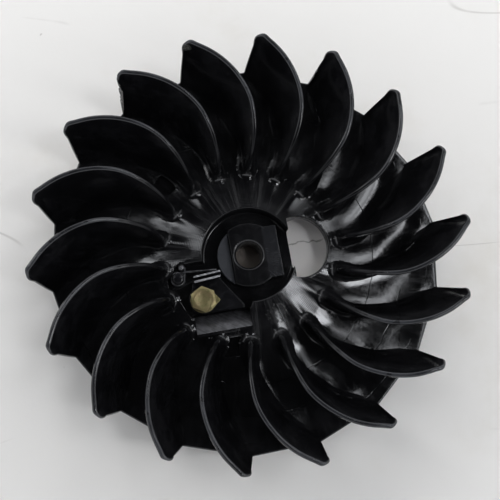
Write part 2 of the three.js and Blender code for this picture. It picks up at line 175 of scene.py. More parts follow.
POCKET_OUTLINE = [
    (-10, 0.6), (-34, 0.6), (-39.8, -2.6), (-40.2, -9.5), (-36.6, -14),
    (-33.2, -22.4), (-31.6, -25.2), (-3.6, -25.2), (-1.6, -21.2), (-8, -10),
]
PAD_OUTLINE = [(-9, 4), (-36, 4), (-43.5, -2), (-44, -11), (-35.5, -26), (-34, -34), (-6, -34), (1, -20)]
BLADE_KEEP_OUT = [
    (-10, 2.2), (-34.5, 2.2), (-41.6, -2), (-42, -10.5), (-38.6, -15.2),
    (-34.8, -27), (-32.2, -36.4), (-3, -36.4), (-1, -20),
]
PAWL_OUTLINE = [
    (-25, -24.4), (-6.4, -24.4), (-5.6, -23), (-15.2, -8.6), (-15.2, -5.3), (-28, -6.1), (-30, -13),
]
FLANGE_OUTLINE = [(-28, -9.5), (-15.3, -8.4), (-14.9, -5.1), (-28, -6.1)]
CHANNEL_OUTLINE = [(-30, -8.7), (-13, -7.3), (-13, -5.9), (-30, -7.1)]  # between the flange's two walls


# ---------------------------------------------------------------- plane geometry

def polar(radius, degrees):
    a = np.radians(degrees)
    return np.stack([radius * np.cos(a), radius * np.sin(a)], axis=-1)


def unit(vectors):
    return vectors / np.maximum(np.linalg.norm(vectors, axis=-1, keepdims=True), 1e-9)


def smooth_step(low, high, value):
    t = np.clip((value - low) / (high - low), 0, 1)
    return t * t * (3 - 2 * t)


def spline(knots, values, at):
    """Smooth curve through values given at knots: each tangent is the mean slope of its two neighbours."""
    knots = np.asarray(knots, float)
    values = np.asarray(values, float)
    slopes = np.gradient(values, knots, axis=0)
    i = np.clip(np.searchsorted(knots, at, side="right") - 1, 0, len(knots) - 2)
    span = knots[i + 1] - knots[i]
    t = (at - knots[i]) / span
    if values.ndim > 1:
        t = t[:, None]
        span = span[:, None]
    return (
        (2 * t**3 - 3 * t**2 + 1) * values[i] + (t**3 - 2 * t**2 + t) * span * slopes[i]
        + (3 * t**2 - 2 * t**3) * values[i + 1] + (t**3 - t**2) * span * slopes[i + 1]
    )


def rounded(outline, radius, steps=6):
    """Outline, turned anticlockwise, with each corner rounded to about this radius."""
    corners = np.array(outline, float)
    if np.sum(np.cross(corners, np.roll(corners, -1, axis=0))) < 0:
        corners = corners[::-1]
    points = []
    for i, corner in enumerate(corners):
        to_last = corners[i - 1] - corner
        to_next = corners[(i + 1) % len(corners)] - corner
        back = unit(to_last)
        ahead = unit(to_next)
        half_angle = math.acos(np.clip(back @ ahead, -1, 1)) / 2
        room = min(np.linalg.norm(to_last), np.linalg.norm(to_next))
        reach = min(radius / math.tan(half_angle), 0.45 * room)
        start = corner + back * reach
        end = corner + ahead * reach
        for t in np.linspace(0, 1, steps):
            points.append((1 - t) ** 2 * start + 2 * t * (1 - t) * corner + t**2 * end)
    return np.array(points)


def outward(outline):
    """Unit normal at each point of an anticlockwise outline."""
    along = unit(np.roll(outline, -1, axis=0) - np.roll(outline, 1, axis=0))
    return np.stack([along[:, 1], -along[:, 0]], axis=-1)


def inside(outline, point):
    x, y = point
    hits = 0
    for (x0, y0), (x1, y1) in zip(outline, outline[1:] + outline[:1]):
        if (y0 > y) != (y1 > y) and x < x0 + (y - y0) * (x1 - x0) / (y1 - y0):
            hits += 1
    return hits % 2 == 1


# ---------------------------------------------------------------- meshes

def new_object(name, points, faces, edge=None):
    """Mesh object from points and faces.

    edge says how far each point lies on a worn edge, whose paint is also lightened as a painted sheen, from 0 to
    1, or on a dull, sheltered one, from 0 to -1.
    """
    mesh = bpy.data.meshes.new(name)
    mesh.from_pydata((np.asarray(points).reshape(-1, 3) * MM).tolist(), [], faces)
    if edge is not None:
        values = mesh.attributes.new("edge", "FLOAT", "POINT").data
        values.foreach_set("value", np.asarray(edge, float).ravel())
    work = bmesh.new()
    work.from_mesh(mesh)
    bmesh.ops.remove_doubles(work, verts=work.verts, dist=0.002 * MM)
    bmesh.ops.dissolve_degenerate(work, edges=work.edges, dist=0.001 * MM)
    bmesh.ops.recalc_face_normals(work, faces=work.faces)
    work.to_mesh(mesh)
    work.free()
    made = bpy.data.objects.new(name, mesh)
    bpy.context.collection.objects.link(made)
    return made


def lofted(name, loops, closed=False, edge=None):
    """Skin over a row of loops with the same number of points, with a flat cap on each end unless closed."""
    loops = np.asarray(loops)
    rows, count = loops.shape[:2]
    faces = []
    for i in range(rows if closed else rows - 1):
        for j in range(count):
            a = i * count + j
            b = i * count + (j + 1) % count
            step = (((i + 1) % rows) - i) * count
            faces.append((a, b, b + step, a + step))
    if not closed:
        faces.append(tuple(range(count - 1, -1, -1)))
        faces.append(tuple(range((rows - 1) * count, rows * count)))
    return new_object(name, loops, faces, edge)


def turned(name, profile, columns, centre=(0, 0)):
    """A ring or a round body: profile(angle) gives its closed section as (radius, z) pairs."""
    loops = []
    for degrees in np.arange(columns) * 360 / columns:
        section = np.array(profile(degrees), float)
        across = polar(section[:, 0], degrees) + np.array(centre)
        loops.append(np.column_stack([across, section[:, 1]]))
    return lofted(name, loops, closed=True)


def slab(name, outline, low_z, high_z, edge=0.0, steps=4):
    """Upright prism. edge is the radius of its upper and lower edges."""
    normals = outward(outline)
    levels = [(0, low_z), (0, high_z)]
    if edge:
        turns = np.linspace(0, math.pi / 2, steps)
        levels = [(edge * (1 - math.sin(a)), low_z + edge * (1 - math.cos(a))) for a in turns]
        levels += [(edge * (1 - math.cos(a)), high_z - edge * (1 - math.sin(a))) for a in turns]
    loops = [np.column_stack([outline - normals * inset, np.full(len(outline), z)]) for inset, z in levels]
    return lofted(name, loops)


def combined(target, tool, operation):
    """target with tool added or taken away. tool is used up."""
    step = target.modifiers.new("step", "BOOLEAN")
    step.object = tool
    step.operation = operation
    step.solver = "EXACT"
    bpy.context.view_layer.update()
    result = bpy.data.meshes.new_from_object(target.evaluated_get(bpy.context.evaluated_depsgraph_get()))
    target.modifiers.clear()
    target.data = result
    bpy.data.objects.remove(tool)
    return target


def finished(piece, material, body, replaced, sharp=35, bare=None, is_bare=None):
    """Gives a piece its shading, its material and its body, and hides the CAD nodes it stands for.

    Edges sharper than the angle sharp stay sharp. body is None for a piece that is left out of every body. bare is
    a second material, for the faces that is_bare(centre, normal) picks out.
    """
    mesh = piece.data
    mesh.materials.clear()
    mesh.materials.append(material)
    if bare:
        mesh.materials.append(bare)
    for face in mesh.polygons:
        face.material_index = int(bool(bare) and is_bare(np.array(face.center) / MM, face.normal))
    mesh.shade_smooth()
    mesh.set_sharp_from_angle(angle=math.radians(sharp))
    flats = piece.modifiers.new("flats", "WEIGHTED_NORMAL")
    flats.mode = "FACE_AREA"
    flats.weight = 100
    flats.keep_sharp = True
    if body:
        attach(piece, body)
    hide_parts(*replaced)
    return piece


# ---------------------------------------------------------------- wheel disc

def blade_turn(number):
    return TIP_PHASE + (number - 1) * PITCH


def floor_height(radius):
    share = (RIM_RADIUS - np.asarray(radius, float)) / (RIM_RADIUS - GROOVE_RADIUS)
    return RIM_Z + DISH_RISE * np.maximum(share, 0) ** DISH_POWER


def spur_height(radius, degrees):
    """Low rounded spurs that run from the blades' hub ends down the cone to the groove."""
    off = (degrees - TIP_PHASE - FREE_EDGE[0][1] + PITCH / 2) % PITCH - PITCH / 2
    across = np.radians(off) * radius
    grow = smooth_step(GROOVE_RADIUS + 1, 41, radius) * (1 - smooth_step(44, 50, radius))
    return 0.45 * grow * np.exp(-(across / 2.6) ** 2)


def root_angle(radius):
    """Angle of a blade's root from its tip at some radii."""
    radii, angles = zip(*ROOT_LINE)
    return spline(radii, angles, radius)


def channel_height(radius, degrees):
    """The floor between two blades is hollowed out a little, and rises towards the foot of each blade."""
    root = root_angle(np.atleast_1d(radius).ravel()).reshape(np.shape(radius))
    off = (degrees - TIP_PHASE - root) % PITCH / PITCH
    grow = smooth_step(42, 52, radius) * smooth_step(91, 80, radius)
    return CHANNEL_DEPTH * grow * ((2 * off - 1) ** 2 - 0.3)


def unevenness(x, y):
    """Slow waves of a cast and thickly painted floor."""
    return (
        0.07 * np.sin(x / 5.3 + 1.1) * np.sin(y / 6.7 + 0.4)
        + 0.08 * np.sin((x + y) / 8.9)
        + 0.05 * np.sin((x - y) / 4.1)
    )


def floor_at(x, y):
    """Height of the finished floor, with its spurs and slow waves."""
    radius = np.hypot(x, y)
    degrees = np.degrees(np.arctan2(y, x))
    calm = smooth_step(GROOVE_RADIUS + 1, GROOVE_RADIUS + 6, radius) * smooth_step(88, 82, radius)
    shape = floor_height(radius) + spur_height(radius, degrees) + channel_height(radius, degrees)
    return shape + calm * unevenness(x, y)


def rim_radius(degrees):
    off = (degrees - CORNER_PHASE) % PITCH - PITCH / 2
    return RIM_RADIUS * math.cos(math.radians(PITCH / 2)) / math.cos(math.radians(off))


def quarter(centre_r, centre_z, radius, start, end, steps=5):
    """Arc in a section, as (radius, z) pairs from one angle to another."""
    return [
        (centre_r + radius * math.cos(math.radians(a)), centre_z + radius * math.sin(math.radians(a)))
        for a in np.linspace(start, end, steps)
    ]


def disc_profile(degrees):
    bore = HUB_RADIUS + HUB_JOINT
    lip = 0.6
    corner = 0.9
    rim = rim_radius(degrees)
    mouth_z = floor_height(GROOVE_RADIUS)
    front = [
        (r, floor_at(*polar(r, degrees)))
        for r in GROOVE_RADIUS + lip + (91 - GROOVE_RADIUS - lip) * np.linspace(0, 1, 50) ** 1.1
    ]
    back = [(r, floor_height(r) - WEB) for r in np.linspace(BACK_RING[0] - corner, HUB_SEAT[0] + 4, 22)]
    return [
        (bore, HUB_SEAT[1]),
        (bore, GROOVE_Z),
        *quarter(GROOVE_RADIUS - 1.4, GROOVE_Z + 1.4, 1.4, -90, 0),
        *quarter(GROOVE_RADIUS + lip, mouth_z - lip, lip, 180, 100),
        *front,
        (rim - 2, floor_height(rim - 2)),
        *quarter(rim - corner, RIM_Z - corner, corner, 90, 0),
        *quarter(rim - corner, RIM_Z - RIM_THICKNESS + corner, corner, 0, -90),
        (BACK_RING[1] + 1, RIM_Z - RIM_THICKNESS),
        (BACK_RING[1], RIM_Z - RIM_THICKNESS - 0.6),
        *quarter(BACK_RING[1] - 0.6, 0.6, 0.6, 0, -90, 4),
        *quarter(BACK_RING[0] + 0.6, 0.6, 0.6, -90, -180, 4),
        *back,
        (HUB_SEAT[0], HUB_SEAT[1]),
    ]


def flared_cut(name, outline, low_z, lip, keep=None):
    """Cutter whose mouth opens out in a round lip where it comes through the dished floor.

    keep is how much of the lip each point of the outline has, from 0 to 1.
    """
    normals = outward(outline) * (1 if keep is None else keep[:, None])
    reach = np.linalg.norm(outline, axis=1)
    mouth = floor_height(np.maximum(reach, GROOVE_RADIUS))
    loops = [np.column_stack([outline, np.full(len(outline), float(low_z))])]
    for a in np.linspace(0, 80, 6):
        sideways = lip * (1 - math.cos(math.radians(a)))
        ring = outline + normals * sideways
        loops.append(np.column_stack([ring, mouth - lip + lip * math.sin(math.radians(a))]))
    ring = outline + normals * 3 * lip
    loops.append(np.column_stack([ring, mouth + lip]))
    loops.append(np.column_stack([ring, np.full(len(outline), float(CUT_TO))]))
    return lofted(name, loops)


def ramp_prism(points):
    """Prism as wide as the ramp, from a list of (y, z) pairs."""
    loops = [np.array([(x, y, z) for y, z in points]) for x in (RAMP["x0"], RAMP["x1"])]
    return lofted("ramp", loops)


def arc_outline(x, y, radius, start, end, steps):
    return polar(radius, np.linspace(start, end, steps)) + np.array([x, y])


def rib(number):
    """Rib on the web's back. It is a little wider where it meets the web, and its lower edges are bevelled."""
    along = polar(1.0, RIB["phase"] + number * 360 / RIBS)
    across = np.array([-along[1], along[0]])
    half = RIB["thickness"] / 2
    low = RIB["low_z"]
    loops = []
    for r in np.linspace(RIB["inner"], RIB["outer"], 24):
        top = floor_height(r) - WEB + 1
        section = [
            (-half - 0.5, top), (-half, low + 0.8), (-half + 0.7, low),
            (half - 0.7, low), (half, low + 0.8), (half + 0.5, top),
        ]
        loops.append(np.array([(*(along * r + across * w), z) for w, z in section]))
    return lofted("rib", loops)


def on_ramp(centre, normal):
    over_ramp = RAMP["crest_y"] < centre[1] < RAMP["foot_y"] and RAMP["x0"] < centre[0] < RAMP["x1"]
    return over_ramp and normal[1] > 0.5 and normal[2] > 0.4


def add_ribs(disc):
    """The ribs stop short of the window."""
    around_window = arc_outline(WINDOW["x"], 0, WINDOW["radius"] + RIB["window_gap"], 0, 355, 72)
    for number in range(RIBS):
        clear = slab("clear", around_window, CUT_FROM, CUT_TO)
        combined(disc, combined(rib(number), clear, "DIFFERENCE"), "UNION")


def add_pad(disc):
    """Thicker metal behind the pocket, clear of the hub."""
    hub_clear = slab("hub_clear", polar(HUB_RADIUS + HUB_JOINT, np.arange(0, 360, 5)), CUT_FROM, CUT_TO)
    pad = slab("pad", rounded(PAD_OUTLINE, 3), RIB["low_z"], GROOVE_Z, 0.8)
    combined(disc, combined(pad, hub_clear, "DIFFERENCE"), "UNION")


def add_ramp(disc):
    """Fills the disc up to the sloping face, and clears what stands over it."""
    foot = (RAMP["foot_y"], RAMP["foot_z"])
    crest = (RAMP["crest_y"], RAMP["crest_z"])
    back = (RAMP["back_y"], RAMP["crest_z"])
    low = HUB_SEAT[1]
    combined(disc, ramp_prism([(RAMP["back_y"], low), (RAMP["foot_y"], low), foot, crest, back]), "UNION")
    over = ramp_prism([foot, (RAMP["foot_y"], CUT_TO), (RAMP["back_y"], CUT_TO), back, crest])
    combined(disc, over, "DIFFERENCE")


def cut_window(disc):
    """D-shaped window. Only its round side has a lip."""
    reach = math.degrees(math.acos((WINDOW["flat_x"] - WINDOW["x"]) / WINDOW["radius"]))
    window = arc_outline(WINDOW["x"], 0, WINDOW["radius"], -reach, reach, 72)
    round_side = smooth_step(WINDOW["flat_x"] + 1, WINDOW["flat_x"] + 8, window[:, 0])
    combined(disc, flared_cut("window", window, CUT_FROM, 1.3, round_side), "DIFFERENCE")


def cut_hollows(disc):
    """The pawl's pocket, the square recess, the shallow round hollow, and the holes for bolt, post and peg."""
    combined(disc, flared_cut("pocket", rounded(POCKET_OUTLINE, 1.5), GROOVE_Z, 0.5), "DIFFERENCE")
    recess = [
        (RECESS["x"] + sx * RECESS["half_x"], RECESS["y"] + sy * RECESS["half_y"])
        for sx, sy in ((-1, -1), (1, -1), (1, 1), (-1, 1))
    ]
    combined(disc, flared_cut("recess", rounded(recess, 2.5), RECESS["z"], 1.0), "DIFFERENCE")
    hollow = polar(ROUND_HOLLOW["pitch_radius"], ROUND_HOLLOW["angle"])
    ring = arc_outline(*hollow, ROUND_HOLLOW["radius"], 0, 352.5, 48)
    combined(disc, flared_cut("hollow", ring, ROUND_HOLLOW["z"], 0.4), "DIFFERENCE")
    for place, radius in PIN_HOLES:
        hole = slab("pin_hole", arc_outline(*place, radius, 0, 345, 24), PIN_HOLE_Z, CUT_TO)
        combined(disc, hole, "DIFFERENCE")


def make_disc(material, bare):
    disc = turned("disc", disc_profile, 540)
    add_ribs(disc)
    add_pad(disc)
    add_ramp(disc)
    cut_window(disc)
    cut_hollows(disc)
    disc.name = "disc"
    return finished(disc, material, "wheel", ["wheel_disc"], 32, bare, on_ramp)


# ---------------------------------------------------------------- blades

def root_at(share):
    radius = ROOT_FROM + (ROOT_TO - ROOT_FROM) * share
    return np.column_stack([polar(radius, root_angle(radius)), floor_height(radius) - SINK])


# Places where a blade's outer edge is chipped: lowest and highest z, depth of the chip.
CHIPS = {4: [(9, 26, 1.9)], 7: [(20, 41, 2.2)]}
CHIP_TOOTH = 1.7


def chipped(points, tip, chips):
    """Eats jagged bites out of the outer edge, which runs down from the tip."""
    for low, high, depth in chips:
        z = points[tip:, 2]
        bite = smooth_step(low, low + 2, z) * smooth_step(high, high - 2, z)
        teeth = np.arange(low, high + CHIP_TOOTH, CHIP_TOOTH)
        jag = np.interp(z, teeth, np.random.default_rng(low).uniform(0, 1, len(teeth)))
        inward = -unit(points[tip:, :2])
        points[tip:, :2] += inward * (depth * bite * jag)[:, None]
    return points


def free_boundary(shift, chips):
    """Points along the free edge, evenly spread, with the hub end moved out by shift."""
    table = np.array(FREE_EDGE, float)
    weight = np.clip((SHIFT_UP_TO - table[:, 0]) / (SHIFT_UP_TO - table[0, 0]), 0, 1)
    table[:, 0] += shift * weight
    table[0, 2] = floor_height(table[0, 0]) - RIM_Z - SINK
    points = np.column_stack([polar(table[:, 0], table[:, 1]), RIM_Z + table[:, 2]])
    knots = np.concatenate([[0], np.cumsum(np.linalg.norm(np.diff(points, axis=0), axis=1))])
    nose = np.linspace(0, NOSE_LENGTH, NOSE_STATIONS, endpoint=False)
    smooth = spline(knots, points, np.concatenate([nose, np.linspace(NOSE_LENGTH, knots[-1], BLADE_STATIONS)]))
    tip = int(np.argmax(np.hypot(smooth[:, 0], smooth[:, 1])))
    return chipped(smooth, tip, chips), tip


def hub_end_shift(turn):
    """How much further out a blade has to start so that its foot stays clear of the pocket and the window."""
    shift = 0
    clear_of_window = WINDOW["radius"] + FILLET_AT_HUB_END + 1
    for r in np.arange(FREE_EDGE[0][0], 56, 0.5):
        place = polar(r, root_angle(np.array([r]))[0] + turn)
        near_window = np.linalg.norm(place - [WINDOW["x"], 0]) < clear_of_window
        if near_window or inside(BLADE_KEEP_OUT, place):
            shift = r - FREE_EDGE[0][0] + 1
    return shift


def blade_loops(turn, shift, chips):
    """Closed sections of the blade whose tip lies at the angle turn, from its hub end to its outer end."""
    free, tip = free_boundary(shift, chips)
    radius = np.hypot(free[:, 0], free[:, 1])
    share = np.clip((radius - radius[0]) / (radius[tip] - radius[0]), 0, 1)
    share = np.maximum.accumulate(share)
    share[tip:] = 1
    first = shift / (ROOT_TO - ROOT_FROM)
    root_share = first + (1 - first) * share
    root = root_at(root_share)
    nudge = 0.004
    near = np.clip(root_share, nudge, 1 - nudge)
    root_way = unit((root_at(near + nudge) - root_at(near - nudge))[:, :2])
    free_way = unit(np.gradient(free[:, :2], axis=0))
    free_way[:NOSE_STATIONS] = free_way[NOSE_STATIONS]
    straight = int(np.argmax(radius > TIP_CORNER_RADIUS))
    free_way[straight:] = free_way[straight]
    side = np.column_stack([-root_way[:, 1], root_way[:, 0], np.zeros(len(free))])
    edge_side = np.column_stack([-free_way[:, 1], free_way[:, 0], np.zeros(len(free))])
    along = unit(np.gradient(free, axis=0))
    out = unit(np.cross(along, edge_side))
    centre = free - out * EDGE_HALF
    columns = []
    for hand in (1, -1):
        rows = []
        for height in BLADE_ROWS:
            middle_line = root + (centre - root) * height
            normal = unit(side + (edge_side - side) * height) * hand
            half = ROOT_HALF + (EDGE_HALF - ROOT_HALF) * height
            rows.append((middle_line + normal * half, normal))
        columns.append(rows)
    arc = []
    for a in CREST_TURNS:
        normal = edge_side * math.cos(a) + out * math.sin(a)
        arc.append((centre + normal * EDGE_HALF, normal))
    loop = columns[0] + arc + columns[1][::-1]
    c = math.cos(math.radians(turn))
    s = math.sin(math.radians(turn))
    spin = np.array([[c, s, 0], [-s, c, 0], [0, 0, 1]])
    points = np.stack([p for p, _ in loop], axis=1) @ spin
    normals = np.stack([n for _, n in loop], axis=1) @ spin
    return flared_foot(points, normals, share), share


def flared_foot(points, normals, share):
    """Bends the foot of the blade out into a fillet that runs into the floor, all but at the rim."""
    floor = floor_height(np.hypot(points[..., 0], points[..., 1]))
    height = np.clip(points[..., 2] - floor, -SINK, None)
    fade = smooth_step(1.0, 0.86, share)[:, None]
    fillet = FILLET + (FILLET_AT_HUB_END - FILLET) * smooth_step(0.3, 0.02, share)[:, None]
    climb = np.clip(height / fillet, 0, 1)
    push = fillet * (1 - np.sqrt(1 - (1 - climb) ** 2)) * fade
    flat = unit(normals[..., :2] + 1e-9)
    points = points.copy()
    points[..., :2] += flat * push[..., None]
    near = height < fillet
    points[..., 2] = np.where(near, floor_at(points[..., 0], points[..., 1]) + height, points[..., 2])
    return points


def make_blade(number, material):
    turn = blade_turn(number)
    loops, share = blade_loops(turn, hub_end_shift(turn), CHIPS.get(number, []))
    side = np.zeros(len(BLADE_ROWS))
    crest = np.concatenate([side, np.sin(CREST_TURNS) ** 2, side])
    # Worn crest, whose paint is lightened as a painted sheen, from partway out; dull near the hub end.
    rubbed = smooth_step(0.15, 0.5, share)
    sheltered = smooth_step(0.01, 0.06, share) * smooth_step(0.42, 0.2, share)
    edge = crest * (rubbed - sheltered)[:, None]
    blade = lofted(f"vane_{number:02d}", loops, edge=edge)
    return finished(blade, material, "wheel", [f"blade_{number:02d}"], 50)


# ---------------------------------------------------------------- hub boss

def head_radius(degrees):
    """Reach of the boss's head: a circle, squared out to one flat at +X and cut back to the other at -X."""
    c = math.cos(math.radians(degrees))
    s = abs(math.sin(math.radians(degrees)))
    reach = HUB_HEAD_RADIUS
    if c > 0:
        reach = min(max(reach, HUB_FLAT_HALF / max(s, 1e-9)), HUB_FLAT_PLUS_X / c)
    elif c < 0:
        reach = min(reach, HUB_FLAT_MINUS_X / c)
    return reach


def hub_profile(degrees):
    head = head_radius(degrees)
    wide = max(head, HUB_RADIUS)
    edge = 0.45
    ledge = 0.35 if head < HUB_RADIUS else 0.0
    chamfer = BORE_CHAMFER
    return [
        (BORE_RADIUS + 0.5, 0),
        (HUB_RADIUS - 0.5, 0),
        (HUB_RADIUS, 0.5),
        (HUB_RADIUS, HUB_HEAD_Z),
        (wide, HUB_HEAD_Z),
        *quarter(wide - ledge, LEDGE_Z - ledge, ledge, 0, 90, 4),
        (head, LEDGE_Z),
        *quarter(head - edge, HUB_TOP_Z - edge, edge, 0, 90, 5),
        (BORE_RADIUS + chamfer + 0.25, HUB_TOP_Z),
        (BORE_RADIUS + chamfer, HUB_TOP_Z - 0.06),
        (BORE_RADIUS + 0.12, HUB_TOP_Z - chamfer + 0.1),
        (BORE_RADIUS, HUB_TOP_Z - chamfer - 0.1),
        (BORE_RADIUS, 0.5),
    ]


def in_bore(centre, normal):
    return np.hypot(centre[0], centre[1]) < BORE_RADIUS + 0.05 and 0.5 < centre[2] < HUB_TOP_Z - BORE_CHAMFER


# ---------------------------------------------------------------- pawl, bolt and spring

def on_flange_top(centre, normal):
    return centre[2] > FLANGE_TOP_Z - 0.3 and normal[2] > 0.3


def make_pawl(material, bare):
    top = PAWL_Z + PAWL_THICKNESS
    plate = slab("pawl", rounded(PAWL_OUTLINE, 1.2), PAWL_Z, top, 0.45)
    eye = slab("eye", arc_outline(*PIVOT, PAWL_EYE_RADIUS, 0, 354, 60), PAWL_Z, top, 0.3)
    flange = slab("flange", rounded(FLANGE_OUTLINE, 0.5), PAWL_Z + 0.4, FLANGE_TOP_Z, 0.25)
    channel = slab("channel", rounded(CHANNEL_OUTLINE, 0.3), FLANGE_TOP_Z - 3, CUT_TO)
    combined(flange, channel, "DIFFERENCE")
    hole = slab("hole", arc_outline(*PIVOT, PAWL_HOLE_RADIUS, 0, 352.5, 48), 0, CUT_TO)
    pawl = combined(combined(combined(plate, eye, "UNION"), flange, "UNION"), hole, "DIFFERENCE")
    return finished(pawl, material, "pawl", ["starter_pawl"], 40, bare, on_flange_top)


def washer_profile(degrees):
    """Round washer that runs out to one point between two straight sides."""
    low, high = cad("tab_washer")
    z0, z1 = low[2], high[2]
    hole = WASHER["hole"]
    radius = WASHER["radius"]
    opening = math.degrees(math.acos(radius / WASHER["point"]))
    off = abs((degrees - WASHER["point_angle"] + 180) % 360 - 180)
    reach = radius / math.cos(math.radians(opening - off)) if off < opening else radius
    e = 0.2
    return [
        (hole, z0), (reach - e, z0), (reach, z0 + e),
        (reach, z1 - e), (reach - 0.3 * e, z1 - 0.3 * e), (reach - e, z1), (hole, z1),
    ]


def bolt_profile(degrees):
    """Bolt with a shoulder and a hexagon head, bevelled and a little dished on top."""
    low, high = cad("pivot_bolt")
    shank = BOLT["shank"]
    shoulder = BOLT["shoulder"]
    shoulder_z = BOLT["shoulder_z"]
    head_z = cad("tab_washer")[1][2] + 0.3
    top = high[2]
    apothem = (high[0] - low[0]) / 2
    off = (degrees - 90 + 30) % 60 - 30
    reach = apothem / math.cos(math.radians(30 - abs(off)))
    crown = apothem - 0.5
    drop = (reach - crown) * 0.5
    return [
        (0, low[2]), (BOLT["end"], low[2]), (shank, low[2] + 0.6),
        (shank, shoulder_z), (shoulder, shoulder_z), (shoulder, head_z),
        (apothem - 0.4, head_z), (apothem - 0.4, head_z + 0.15), (reach - 0.15, head_z + 0.25),
        (reach, head_z + 0.5), (reach, top - drop - 0.25), (reach - 0.1, top - drop),
        (crown, top - 0.08), (crown - 0.25, top), (crown - 1.2, top), (crown - 1.5, top - 0.12), (0, top - 0.12),
    ]


def post_profile(degrees):
    low, high = cad("spring_post")
    cap = (high[0] - low[0]) / 2
    cap_z = high[2] - POST_CAP_THICKNESS
    return [
        (0, low[2]), (POST_RADIUS, low[2]), (POST_RADIUS, cap_z), (cap - 0.2, cap_z), (cap, cap_z + 0.2),
        *quarter(cap - 0.9, high[2] - 0.9, 0.9, 0, 80, 6), (0, high[2]),
    ]


def peg_profile(degrees):
    low, high = cad("spring_peg")
    ball = (high[0] - low[0]) / 2
    return [(0, low[2]), (PEG_RADIUS, low[2]), *quarter(0, high[2] - ball, ball, -60, 90, 16)]


def spring_path():
    """Middle line of the spring's wire, and the point where its long leg leaves the coil."""
    low, high = cad("return_spring")
    low_z = low[2] + WIRE_RADIUS
    high_z = high[2] - WIRE_RADIUS
    to_end = np.array(LEG_END) - POST
    leaves = math.degrees(math.atan2(to_end[1], to_end[0]) + math.acos(COIL_RADIUS / np.linalg.norm(to_end)))
    sweep = 360 * (COIL_TURNS + 1) + COIL_START - leaves
    shares = np.linspace(0, 1, 110)
    circle = polar(COIL_RADIUS, COIL_START - sweep * shares) + POST
    coil = np.column_stack([circle, low_z + (high_z - low_z) * shares])
    foot = coil[0]
    rise = PEG_LEG_Y - foot[1]
    peg_end = np.array([foot[0] - rise * math.tan(math.radians(COIL_START)), PEG_LEG_Y, foot[2]])
    leg_end = np.array([*LEG_END, high_z])
    short_leg = peg_end + (foot - peg_end) * np.linspace(0, 1, 14)[:-1, None]
    long_leg = coil[-1] + (leg_end - coil[-1]) * np.linspace(0, 1, 40)[1:, None]
    return np.vstack([short_leg, coil, long_leg]), coil[-1]


def make_spring(material):
    """Wire swept along the spring's path, with its coil round its post."""
    path, leaves = spring_path()
    along = unit(np.gradient(path, axis=0))
    across = unit(np.cross(along, [0, 0, 1]))
    upward = np.cross(across, along)
    a = np.radians(np.arange(0, 360, 30))[:, None]
    loops = [p + WIRE_RADIUS * (np.cos(a) * u + np.sin(a) * v) for p, u, v in zip(path, across, upward)]
    spring = finished(lofted("spring", loops), material, None, ["return_spring"], 50)
    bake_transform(spring)


# ---------------------------------------------------------------- materials

class Nodes:
    """Short ways to add the nodes of one node tree. A number or a socket may be given for any input."""

    def __init__(self, tree):
        self.tree = tree

    def feed(self, socket, value):
        if isinstance(value, bpy.types.NodeSocket):
            self.tree.links.new(value, socket)
        else:
            socket.default_value = value

    def add(self, kind, inputs, **settings):
        node = self.tree.nodes.new("ShaderNode" + kind)
        for key, value in settings.items():
            setattr(node, key, value)
        for key, value in inputs.items():
            self.feed(node.inputs[key], value)
        return node

    def math(self, operation, a, b=0.0):
        return self.add("Math", {0: a, 1: b}, operation=operation).outputs[0]

    def vector(self, operation, a, b=(0, 0, 0)):
        node = self.add("VectorMath", {0: a, 1: b}, operation=operation)
        return node.outputs["Value" if operation in ("LENGTH", "DOT_PRODUCT") else "Vector"]

    def times(self, first, *others):
        for other in others:
            first = self.math("MULTIPLY", first, other)
        return first

    def ramp(self, value, low, high, to_low=0.0, to_high=1.0):
        return self.add(
            "MapRange",
            {"Value": value, "From Min": low, "From Max": high, "To Min": to_low, "To Max": to_high},
            interpolation_type="SMOOTHSTEP",
        ).outputs["Result"]

    def fade(self, value, low, high):
        return self.ramp(value, low, high, 1.0, 0.0)

    def near(self, place, centre, full, none):
        """1 within the distance full of a centre, 0 beyond the distance none."""
        return self.fade(self.vector("LENGTH", self.vector("SUBTRACT", place, centre)), full, none)

    def noise(self, vector, scale, detail=3.0, roughness=0.5):
        return self.add(
            "TexNoise", {"Vector": vector, "Scale": scale, "Detail": detail, "Roughness": roughness}
        ).outputs["Fac"]

    def mix(self, factor, a, b):
        """Mix of two colours. The node's colour sockets, 6, 7 and 2, share their names with others."""
        node = self.add("Mix", {0: factor}, data_type="RGBA")
        self.feed(node.inputs[6], a)
        self.feed(node.inputs[7], b)
        return node.outputs[2]

    def bump(self, height, distance, strength=1.0, under=None):
        inputs = {"Height": height, "Distance": distance, "Strength": strength}
        if under is not None:
            inputs["Normal"] = under
        return self.add("Bump", inputs).outputs["Normal"]

    def place(self):
        """Place on the object in millimetres, in the wheel's own frame."""
        coordinates = self.add("TexCoord", {}).outputs["Object"]
        return self.vector("MULTIPLY", coordinates, (1 / MM, 1 / MM, 1 / MM))

    def axes(self, vector):
        return self.add("SeparateXYZ", {"Vector": vector}).outputs

    def attribute(self, name):
        return self.add("Attribute", {}, attribute_name=name).outputs["Fac"]


def new_material(name):
    material = bpy.data.materials.new(name)
    material.use_nodes = True
    shader = material.node_tree.nodes["Principled BSDF"]
    return material, Nodes(material.node_tree), shader


WITNESS_RADII = (62.5, 77.5, 89.5)
TURNING_PITCH = 0.8
CONE_EDGE = (36.0, 43.0)  # radii between which the machined cone's finish ends
COARSE_PATCH = (8, -30, floor_height(math.hypot(8, -30)))
SCUFF = (*polar(98.6, blade_turn(6) - 0.6), RIM_Z + 30.5)  # rubbed tip of the sixth blade


